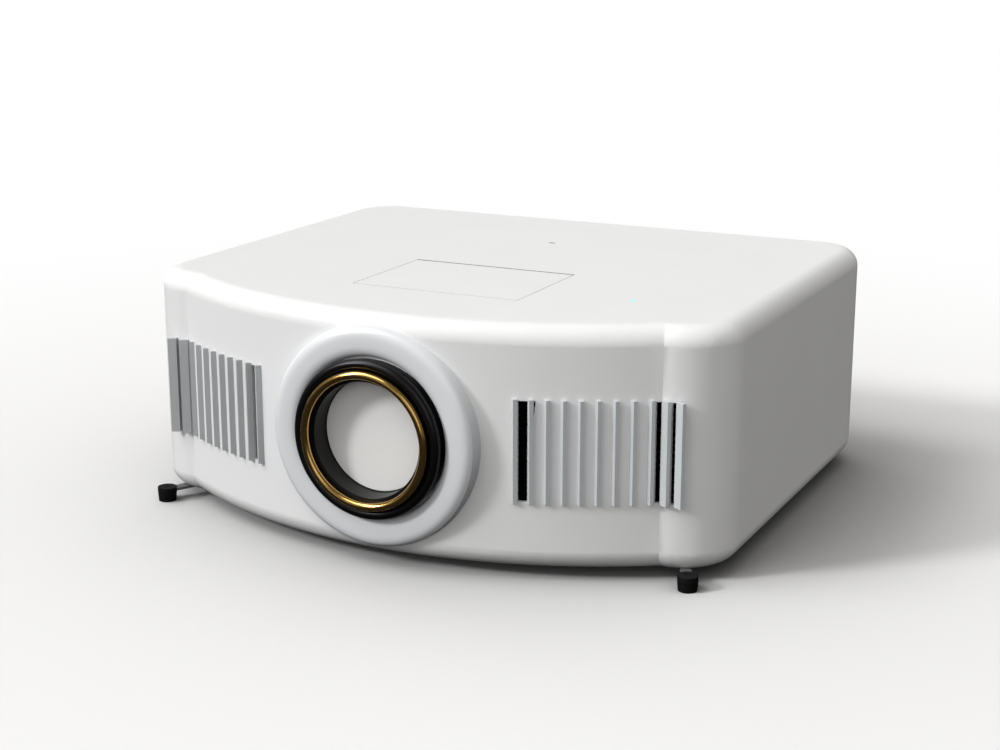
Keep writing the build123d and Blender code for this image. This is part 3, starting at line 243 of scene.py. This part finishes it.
# The same lacquer on the slats, and a darker copy of it for the left slats, which is painted shade.
SLAT_LACQUER = Finish("slat_lacquer", "CDD1D3", "C8CCCE", roughness=0.42)
SLAT_SHADED = Finish("slat_lacquer_painted_shade", "BCBFC1", "B7BABC", roughness=0.45)
# Matt white cap plate, painted paler than the ring so that it reads through the shade of the hood. This is
# painted light.
CAP_ABS = Finish("cap_abs", "F4F4F3", "F0F0EF", roughness=0.6)
# Black ABS of the hood: satin, so the lip shows one soft highlight.
HOOD_BLACK = Finish("hood_satin", "060607", "080809", roughness=0.32, grain_mm=0.6, depth_mm=0.008,
                    shine=0.32)
# Black ABS of the rear panel, the lamp drawer and the inner frames.
BLACK_ABS = Finish("black_abs", "27282A", "2D2E30", roughness=0.5)
# Black mesh and gaskets behind the slots, made near-pure black without shine. This is partly their own black
# and partly painted shade of the open slots.
SLOT_MESH_PAINTED_SHADE = Finish("slot_mesh_painted_shade", "020202", "030303", roughness=0.9, shine=0.0)
# Grey ABS of the control well, the dials and the buttons.
GREY_ABS = Finish("grey_abs", "5A5C5E", "515355", roughness=0.5)
# Grey on the walls of the joint round the top cover, which is painted shade in the gap.
JOINT_PAINTED_SHADE = Finish("joint_painted_shade", "4A4B4C", "434445", roughness=0.8)
# Grey on the thin ears that carry the front feet, the tone of the floor's shadow round them. This is painted
# shadow.
EAR_PAINTED_SHADOW = Finish("ear_painted_shadow", "6A6B6C", "656667", roughness=0.6, shine=0.2)
# Black rubber of the foot pads.
RUBBER = Finish("foot_rubber", "0A0A0B", "0D0D0E", roughness=0.65, grain_mm=0.5, shine=0.25)
# Gold anodised aluminium, polished: bright warm highlights that fall to brown.
GOLD = Finish("gold_anodised_aluminium", "DDB266", "D6AA5D", Surface.MOULDED, 0.2, 1.0, 2.0, 0.0005, 0.35)
# Brushed aluminium, zinc-plated sheet steel and turned brass of the inner pieces.
ALUMINIUM = Finish("brushed_aluminium", "C9CBCE", "B4B7BA", Surface.BRUSHED, 0.35, 1.0, 0.5, 0.01)
STEEL = Finish("zinc_plated_steel", "B9BCC0", "A3A6AA", Surface.BRUSHED, 0.3, 1.0, 0.4, 0.008)
BRASS = Finish("brass", "D9B45F", "C69F4B", Surface.TURNED, 0.28, 1.0, 0.5, 0.006)
# Green solder mask over copper, open filter foam and coated lens glass.
BOARD = Finish("solder_mask_board", "0F5A33", "1B7846", Surface.CIRCUIT, 0.4, 0.0, 2.5, 0.03)
FOAM = Finish("filter_foam", "2B2C2E", "0D0D0E", Surface.CELLS, 0.9, 0.0, 1.6, 0.5)
GLASS = Finish("coated_glass", "DDE7F2", "CFE0F0", Surface.CLEAR, 0.08, 0.0, 4.0, 0.0, 0.0, 1.52)
# Lit cyan window of the status light.
CYAN = Finish("cyan_window", "3FC6D8", "56D3E2", Surface.LIT, 0.25)
# Coloured insulators of the audio jacks.
JACK_RED = Finish("jack_red", "B3261E", "A8221B", roughness=0.4)
JACK_WHITE = Finish("jack_white", "E6E4DE", "DEDCD6", roughness=0.4)
JACK_YELLOW = Finish("jack_yellow", "D9A916", "CE9F12", roughness=0.4)
JACKS = (JACK_RED, JACK_WHITE, JACK_YELLOW)
# Powder-coated sheet behind the signal sockets.
PLATE_GREY = Finish("powder_coat", "A2A5A8", "9A9DA0", roughness=0.5)
# Smoked window over the light sensor.
SENSOR = Finish("smoked_window", "34363B", "2B2D31", Surface.MOULDED, 0.2)

FINISH_OF = {
    "white_case": WHITE_ABS, "black_plastic": BLACK_ABS, "ring_silver": SILVER_LACQUER,
    "hood_black": HOOD_BLACK, "gold_metal": GOLD, "cap_white": CAP_ABS, "slat_silver": SLAT_LACQUER,
    "rubber": RUBBER, "steel": STEEL, "aluminium": ALUMINIUM, "glass": GLASS, "board_green": BOARD,
    "cyan_light": CYAN, "grey_plastic": GREY_ABS, "foam": FOAM, "brass_pins": BRASS,
}


def keep(mesh_tool: bmesh.types.BMesh, name: str, node: str, finish: Finish) -> bpy.types.Object:
    """Turns a finished bmesh into a piece that stands for a CAD node and rides on its body.

    Args:
        mesh_tool: the finished mesh, freed here.
        name: the piece's name.
        node: the CAD node that gives its body and slot.
        finish: its material.

    Returns:
        The new piece.
    """
    mesh = bpy.data.meshes.new(name)
    mesh_tool.to_mesh(mesh)
    mesh_tool.free()
    piece = bpy.data.objects.new(name, mesh)
    bpy.context.scene.collection.objects.link(piece)
    mesh.materials.append(finish.material())
    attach(piece, BODY_OF[node])
    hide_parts(node)
    LOG.info("%s on %s, %d faces", name, BODY_OF[node], len(mesh.polygons))
    return piece


def soften(tool: bmesh.types.BMesh, angle: float = SHARP) -> None:
    """Shades all faces smooth and marks the edges past an angle as sharp.

    Args:
        tool: the mesh.
        angle: the angle, in radians.
    """
    for face in tool.faces:
        face.smooth = True
    for edge in tool.edges:
        edge.smooth = len(edge.link_faces) == 2 and edge.calc_face_angle(math.pi) < angle


@dataclass
class NodeDresser:
    """Carries CAD nodes over as merged, smoothly shaded copies with rounded edges."""

    segments: int = 2
    bevel_from: float = math.radians(35)
    joint_mm: float = 0.7
    ear_mm: float = 21.0
    over_pad_mm: float = 20.0
    joint_steep: float = 0.3

    def dress(self, node: str, finish: Finish, edge_mm: float = 0.0) -> bpy.types.Object:
        """Copies one node.

        Args:
            node: the CAD node.
            finish: its material.
            edge_mm: radius of its outer edges, or 0 for none.

        Returns:
            The copy.
        """
        tool = bmesh.new()
        tool.from_mesh(frame["nodes"][node].data)
        bmesh.ops.remove_doubles(tool, verts=tool.verts, dist=MERGE)
        bmesh.ops.dissolve_degenerate(tool, edges=tool.edges, dist=MERGE)
        soften(tool)
        piece = keep(tool, node + "_shown", node, finish)
        if edge_mm:
            rounding = piece.modifiers.new("edges", "BEVEL")
            rounding.width = edge_mm * MM
            rounding.segments = self.segments
            rounding.limit_method = "ANGLE"
            rounding.angle_limit = self.bevel_from
            rounding.harden_normals = True
        weighted = piece.modifiers.new("normals", "WEIGHTED_NORMAL")
        weighted.keep_sharp = True
        return piece

    def paint(self, piece: bpy.types.Object, finish: Finish, low: Vector, high: Vector,
              steep: float = 1.1) -> None:
        """Gives the faces inside a box a second finish.

        Args:
            piece: the dressed piece.
            finish: the finish of those faces.
            low: the box's low corner.
            high: the box's high corner.
            steep: only faces whose normal has less than this much Z, either way.
        """
        piece.data.materials.append(finish.material())
        number = len(piece.data.materials) - 1
        for face in piece.data.polygons:
            inside = all(a <= c <= b for a, c, b in zip(low, face.center, high))
            if inside and abs(face.normal.z) < steep:
                face.material_index = number

    def second_finishes(self, piece: bpy.types.Object, node: str) -> None:
        """Paints the parts of a piece that have a finish of their own.

        Args:
            piece: the dressed piece.
            node: its CAD node.
        """
        grow = Vector((self.joint_mm, self.joint_mm, 0)) * MM
        if node == "base_pan":
            wide = Vector((self.ear_mm, self.ear_mm, 0)) * MM
            above = Vector((0, 0, self.over_pad_mm)) * MM
            for side in ("left", "right"):
                low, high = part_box("front_foot_pad_" + side)
                # The ears take the grey of the floor's shadow: painted shadow.
                self.paint(piece, EAR_PAINTED_SHADOW, low - wide, high + wide + above)
                self.paint(piece, RUBBER, low - grow, high + grow + above)
        if node == "audio_sockets":
            low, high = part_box(node)
            third = (high.x - low.x) / len(JACKS)
            for number, shade in enumerate(JACKS):
                corner = Vector((low.x + third * number, low.y, low.z))
                self.paint(piece, shade, corner, corner + Vector((third, high.y - low.y, high.z - low.z)))
        if node in ("upper_case", "top_cover"):
            low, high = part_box("top_cover")
            # The steep walls of the joint round the top cover take grey: painted shade in the gap.
            self.paint(piece, JOINT_PAINTED_SHADE, low - grow, high + grow, self.joint_steep)


def cut_drives(piece: bpy.types.Object, depth: float = 1.1 * MM, share: float = 0.5) -> None:
    """Sinks a hexagonal drive into the flat end of each screw head.

    Args:
        piece: the dressed screws.
        depth: depth of the drive.
        share: width of the drive over the width of the head.
    """
    tool = bmesh.new()
    tool.from_mesh(piece.data)
    bmesh.ops.dissolve_limit(tool, angle_limit=FLAT_WITHIN, verts=tool.verts, edges=tool.edges)
    heads = [f for f in tool.faces if len(f.verts) > HEAD_SIDES
             and (f.normal.z < -HEAD_FACING or f.normal.y > HEAD_FACING)]
    sixth = math.pi / 3
    for head in heads:
        centre = head.calc_center_median()
        radius = max((v.co - centre).length for v in head.verts)
        flat = head.normal.copy()
        across = flat.orthogonal().normalized()
        upward = flat.cross(across)
        rim = radius * (1 - share) * 0.5
        bmesh.ops.inset_region(tool, faces=[head], thickness=rim, use_even_offset=True)
        for vert in head.verts:
            arm = vert.co - centre
            turn = math.atan2(arm.dot(upward), arm.dot(across)) % sixth - sixth / 2
            vert.co = centre + arm.normalized() * radius * share * math.cos(sixth / 2) / math.cos(turn)
        pushed = bmesh.ops.extrude_face_region(tool, geom=[head])["geom"]
        low = [g for g in pushed if isinstance(g, bmesh.types.BMVert)]
        bmesh.ops.translate(tool, verts=low, vec=-flat * depth)
        bmesh.ops.delete(tool, geom=[head], context="FACES_ONLY")
    soften(tool)
    tool.to_mesh(piece.data)
    tool.free()


def turned(points: Profile, centre: Vector, steps: int, closed: bool = True) -> bmesh.types.BMesh:
    """Turns a profile about an axis along Y.

    Args:
        points: radius and Y of each point, in metres, in order round the section.
        centre: a point on the axis.
        steps: steps in the full turn.
        closed: whether the profile ends where it starts.

    Returns:
        The turned mesh with outward normals.
    """
    tool = bmesh.new()
    verts = [tool.verts.new((centre.x + radius, y, centre.z)) for radius, y in points]
    edges = [tool.edges.new(pair) for pair in zip(verts, verts[1:])]
    if closed:
        edges.append(tool.edges.new((verts[-1], verts[0])))
    bmesh.ops.spin(tool, geom=verts + edges, cent=centre, axis=(0, 1, 0), angle=2 * math.pi, steps=steps,
                   use_merge=True)
    bmesh.ops.remove_doubles(tool, verts=tool.verts, dist=MERGE)
    bmesh.ops.recalc_face_normals(tool, faces=tool.faces)
    soften(tool, SHARP_TURNED)
    return tool


def arc(radius: float, y: float, bend: float, start: float, end: float, count: int) -> Profile:
    """Gives the points of an arc in a turned profile.

    Args:
        radius: distance of its centre from the axis.
        y: Y of its centre.
        bend: its own radius.
        start: first angle in degrees, 0 outwards and 90 to the rear.
        end: last angle.
        count: number of steps.

    Returns:
        Radius and Y of each point.
    """
    angles = [math.radians(start + (end - start) * i / count) for i in range(count + 1)]
    return [(radius + bend * math.cos(a), y + bend * math.sin(a)) for a in angles]


@dataclass
class LensFront:
    """Trim ring, black hood, gold ring and cap, all turned about the lens axis.

    The ring's section is a superellipse: its power sets how full the crown is.
    """

    steps: int = 160
    ring_inner: float = 59.6 * MM
    ring_crown: float = 10.5 * MM
    ring_power: float = 3.0
    ring_wall_painted_shade: float = 0.45
    lip_tube: float = 4.0 * MM
    lip_radius: float = 56.0 * MM
    gold_tube: float = 3.1 * MM
    gold_radius: float = 49.1 * MM
    bore: float = 43.3 * MM
    hood: float = 58.0 * MM
    shoulder: float = 40.5 * MM
    edge: float = 0.6 * MM
    lip_seat: float = 0.8
    # First and last angle and number of steps of each arc.
    ring_sweep: Sweep = (0, -180, 40)
    gold_sweep: Sweep = (56, -236, 26)
    cap_sweep: Sweep = (-90, 0, 4)
    lip_sweep: Sweep = (60, -200, 24)
    bore_sweep: Sweep = (-120, -180, 3)

    def build(self) -> None:
        """Builds the four pieces in order."""
        low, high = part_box("lens_ring")
        axis = Vector(((low.x + high.x) / 2, 0, (low.z + high.z) / 2))
        self.build_ring(low, high, axis)
        self.build_hood(axis)
        low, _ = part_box("gold_ring")
        section = arc(self.gold_radius, low.y + self.gold_tube, self.gold_tube, *self.gold_sweep)
        keep(turned(section, axis, self.steps), "gold_ring_turned", "gold_ring", GOLD)
        low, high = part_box("lens_cap")
        radius, e = (high.x - low.x) / 2, self.edge
        section = [(0, low.y)] + arc(radius - e, low.y + e, e, *self.cap_sweep)
        section += [(radius, high.y), (0, high.y)]
        keep(turned(section, axis, self.steps, closed=False), "lens_cap_turned", "lens_cap", CAP_ABS)

    def build_ring(self, low: Vector, high: Vector, axis: Vector) -> None:
        """Builds the trim ring with a full, rounded crown and an outer wall painted grey towards the
        underside as painted shade.

        Args:
            low: low corner of the ring's box.
            high: high corner of the ring's box.
            axis: a point on the lens axis.
        """
        outer, power = (high.x - low.x) / 2, 2 / self.ring_power
        middle, half = (outer + self.ring_inner) / 2, (outer - self.ring_inner) / 2
        seat = low.y + self.ring_crown
        section = []
        for along, ahead in arc(0.0, 0.0, 1.0, *self.ring_sweep):
            radius = middle + half * math.copysign(abs(along) ** power, along)
            section.append((radius, seat - self.ring_crown * abs(ahead) ** power))
        section += [(self.ring_inner, high.y), (outer, high.y)]
        ring = keep(turned(section, axis, self.steps), "lens_ring_turned", "lens_ring", SILVER_LACQUER)
        # The outward faces of the wall get painted shade that lightens upwards.
        ring.data.materials.append(RING_WALL_PAINTED_SHADE.material())
        for face in ring.data.polygons:
            outward = (face.center - axis).dot(face.normal) > 0
            if outward and abs(face.normal.y) < self.ring_wall_painted_shade:
                face.material_index = 1

    def build_hood(self, axis: Vector) -> None:
        """Builds the black hood with its lip, the seat of the gold ring and the bore.

        Args:
            axis: a point on the lens axis.
        """
        low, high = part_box("lens_hood")
        face, cap_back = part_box("gold_ring")[1].y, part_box("lens_cap")[1].y
        lip_y, e = low.y + self.lip_tube, self.edge
        section = arc(self.lip_radius, lip_y, self.lip_tube, *self.lip_sweep)
        section = [p for p in section if p[1] < face + self.lip_tube]
        section += [(self.lip_radius - self.lip_tube, face), (self.bore + e, face)]
        section += arc(self.bore + e, face + e, e, *self.bore_sweep)
        section += [(self.bore, cap_back), (self.shoulder, cap_back), (self.shoulder, high.y)]
        section += [(self.hood, high.y), (self.hood, lip_y + self.lip_tube * self.lip_seat)]
        keep(turned(section, axis, self.steps), "lens_hood_turned", "lens_hood", HOOD_BLACK)


@dataclass(frozen=True)
class Lamp:
    """A distant light: where it shines from, its strength, and how wide it is in degrees."""

    name: str
    place: tuple[float, float, float]
    power: float
    angle: float


@dataclass
class Studio:
    """Floor, light and camera."""

    eye: Vector = Vector((635.26 * MM, -1288.31 * MM, 476.18 * MM))
    look: Vector = Vector((-0.42677, 0.86719, -0.25661))
    lens_mm: float = 65.08
    sensor_mm: float = 36.0
    clip: tuple[float, float] = (0.05, 50.0)
    lamps: tuple[Lamp, ...] = (
        Lamp("key", (-0.31, -0.43, 0.75), 0.77, 36.0),
        Lamp("left_key", (-0.63, -0.6, 0.48), 1.42, 11.0),
        Lamp("left_top", (-0.55, -0.25, 0.8), 0.66, 24.0),
        Lamp("low_front", (-0.2, -1.0, 0.15), 0.06, 30.0),
        Lamp("right_fill", (0.45, -0.82, 0.35), 0.3, 40.0),
        Lamp("rear", (-0.88, 0.47, 0.06), 0.55, 20.0),
    )
    ambient: float = 0.59
    ambient_tint: tuple[float, float, float] = (1.0, 0.98, 0.955)
    mirrored: float = 0.14
    floor_size: float = 8.0
    floor_tone: float = 0.69
    floor_bounce: float = 0.02
    floor_reach: float = 0.5
    fade_from: float = 0.45
    fade_to: float = 1.3
    nap: tuple[float, float, float] = (-0.4, -0.2, 0.894)
    shade_power: float = 0.65
    shade_low: float = 0.5

    def floor(self) -> None:
        """Pale floor that takes the object's shadow and fades to white away from it. Near the object its
        colour darkens with occlusion, which is painted shade.

        Its nap leans to the left front, like brushed paper, so the side away from the keys reads darker.
        """
        tool = bmesh.new()
        bmesh.ops.create_grid(tool, x_segments=1, y_segments=1, size=self.floor_size)
        mesh = bpy.data.meshes.new("floor")
        tool.to_mesh(mesh)
        tool.free()
        plate = bpy.data.objects.new("floor", mesh)
        bpy.context.scene.collection.objects.link(plate)
        made = bpy.data.materials.new("studio_floor")
        made.use_nodes = True
        tree = made.node_tree
        tree.nodes.clear()
        paths = add_node(tree, "ShaderNodeLightPath")
        shown = add_node(tree, "ShaderNodeMix", {"Factor": paths.outputs["Is Camera Ray"]}, data_type="RGBA")
        shown.inputs[MIX_A].default_value = grey(self.floor_bounce)
        # The floor's colour for camera rays darkens with occlusion near the object: painted shade.
        near = add_node(tree, "ShaderNodeAmbientOcclusion", distance=self.floor_reach).outputs["AO"]
        deeper = add_node(tree, "ShaderNodeMath", {0: near}, operation="POWER")
        deeper.inputs[1].default_value = self.shade_power
        held = add_node(tree, "ShaderNodeMath", {0: deeper.outputs[0]}, operation="MAXIMUM")
        held.inputs[1].default_value = self.shade_low
        tone = add_node(tree, "ShaderNodeMath", {0: held.outputs[0]}, operation="MULTIPLY")
        tone.inputs[1].default_value = self.floor_tone
        tree.links.new(tone.outputs[0], shown.inputs[MIX_B])
        paper = add_node(tree, "ShaderNodeBsdfDiffuse", {"Color": shown.outputs[MIX_RESULT]})
        nap = add_node(tree, "ShaderNodeCombineXYZ", x=self.nap[0], y=self.nap[1], z=self.nap[2])
        tree.links.new(nap.outputs[0], paper.inputs["Normal"])
        place = add_node(tree, "ShaderNodeTexCoord").outputs["Object"]
        reach = add_node(tree, "ShaderNodeVectorMath", {0: place}, operation="LENGTH").outputs["Value"]
        fade = add_node(tree, "ShaderNodeMapRange", {"Value": reach}, interpolation_type="SMOOTHSTEP")
        fade.inputs["From Min"].default_value = self.fade_from
        fade.inputs["From Max"].default_value = self.fade_to
        bright = add_node(tree, "ShaderNodeEmission", strength=1.0)
        factors = {0: fade.outputs["Result"], 1: paths.outputs["Is Camera Ray"]}
        both = add_node(tree, "ShaderNodeMath", factors, operation="MULTIPLY")
        layers = {0: both.outputs[0], 1: paper.outputs[0], 2: bright.outputs[0]}
        mix = add_node(tree, "ShaderNodeMixShader", layers)
        add_node(tree, "ShaderNodeOutputMaterial", {"Surface": mix.outputs[0]})
        mesh.materials.append(made)

    def light(self) -> None:
        """Keys from the upper left front, weak fills from the front and rear, and an even surround."""
        for lamp in self.lamps:
            sun = bpy.data.lights.new(lamp.name, "SUN")
            sun.energy = lamp.power
            sun.angle = math.radians(lamp.angle)
            placed = bpy.data.objects.new(lamp.name, sun)
            placed.rotation_euler = Vector(lamp.place).to_track_quat("Z", "Y").to_euler()
            bpy.context.scene.collection.objects.link(placed)
        world = bpy.data.worlds.new("surround")
        bpy.context.scene.world = world
        world.use_nodes = True
        tree = world.node_tree
        paths = add_node(tree, "ShaderNodeLightPath").outputs
        seen = add_node(tree, "ShaderNodeMath", {0: paths["Is Camera Ray"], 1: paths["Is Transmission Ray"]},
                        operation="MAXIMUM").outputs[0]
        tint = add_node(tree, "ShaderNodeMix", {"Factor": paths["Is Glossy Ray"]}, data_type="RGBA")
        tint.inputs[MIX_A].default_value = (*[self.ambient * c for c in self.ambient_tint], 1)
        tint.inputs[MIX_B].default_value = grey(self.mirrored)
        layers = {"Factor": seen, MIX_A: tint.outputs[MIX_RESULT]}
        shown = add_node(tree, "ShaderNodeMix", layers, data_type="RGBA")
        shown.inputs[MIX_B].default_value = grey(1.0)
        tree.links.new(shown.outputs[MIX_RESULT], tree.nodes["Background"].inputs["Color"])

    def camera(self) -> None:
        """Camera at the photograph's viewing angle."""
        data = bpy.data.cameras.new("camera")
        data.lens = self.lens_mm
        data.sensor_width = self.sensor_mm
        data.clip_start, data.clip_end = self.clip
        camera = bpy.data.objects.new("camera", data)
        camera.location = self.eye
        camera.rotation_euler = self.look.to_track_quat("-Z", "Y").to_euler()
        bpy.context.scene.collection.objects.link(camera)
        bpy.context.scene.camera = camera
        bpy.context.scene.view_settings.view_transform = "Standard"


# Nodes whose finish differs from that of their slot.
SPECIAL = {
    "light_sensor": SENSOR, "front_foot_stud_left": RUBBER, "front_foot_stud_right": RUBBER,
    # The left slats take the darker copy of the slat lacquer: painted shade.
    # The vent screens take near-black without shine, partly painted shade.
    "vent_screens": SLOT_MESH_PAINTED_SHADE, "left_slats": SLAT_SHADED, "socket_plate": PLATE_GREY,
    **{"button_" + str(number): GREY_ABS for number in range(1, 5)},
}
# Radius of the outer edges of the nodes that show a rounding.
EDGES_MM = {
    "left_slats": 0.35, "right_slats": 0.35, "filter_tray": 0.3, "rear_panel": 0.2, "top_cover": 0.25,
    "lamp_cartridge": 0.25, "power_switch": 0.3, "power_inlet": 0.2, "switch_frame": 0.2,
}
TURNED_NODES = {"lens_ring", "lens_hood", "gold_ring", "lens_cap"}


def main() -> None:
    """Builds the studio and every piece in order."""
    logging.basicConfig(level=logging.INFO)
    studio = Studio()
    studio.camera()
    studio.light()
    studio.floor()
    LensFront().build()
    dresser = NodeDresser()
    for node in sorted(set(frame["nodes"]) - TURNED_NODES):
        finish = SPECIAL.get(node, FINISH_OF[SLOT_OF[node]])
        piece = dresser.dress(node, finish, EDGES_MM.get(node, 0.0))
        if node == "case_screws":
            cut_drives(piece)
        dresser.second_finishes(piece, node)


if __name__ == "__main__":
    main()
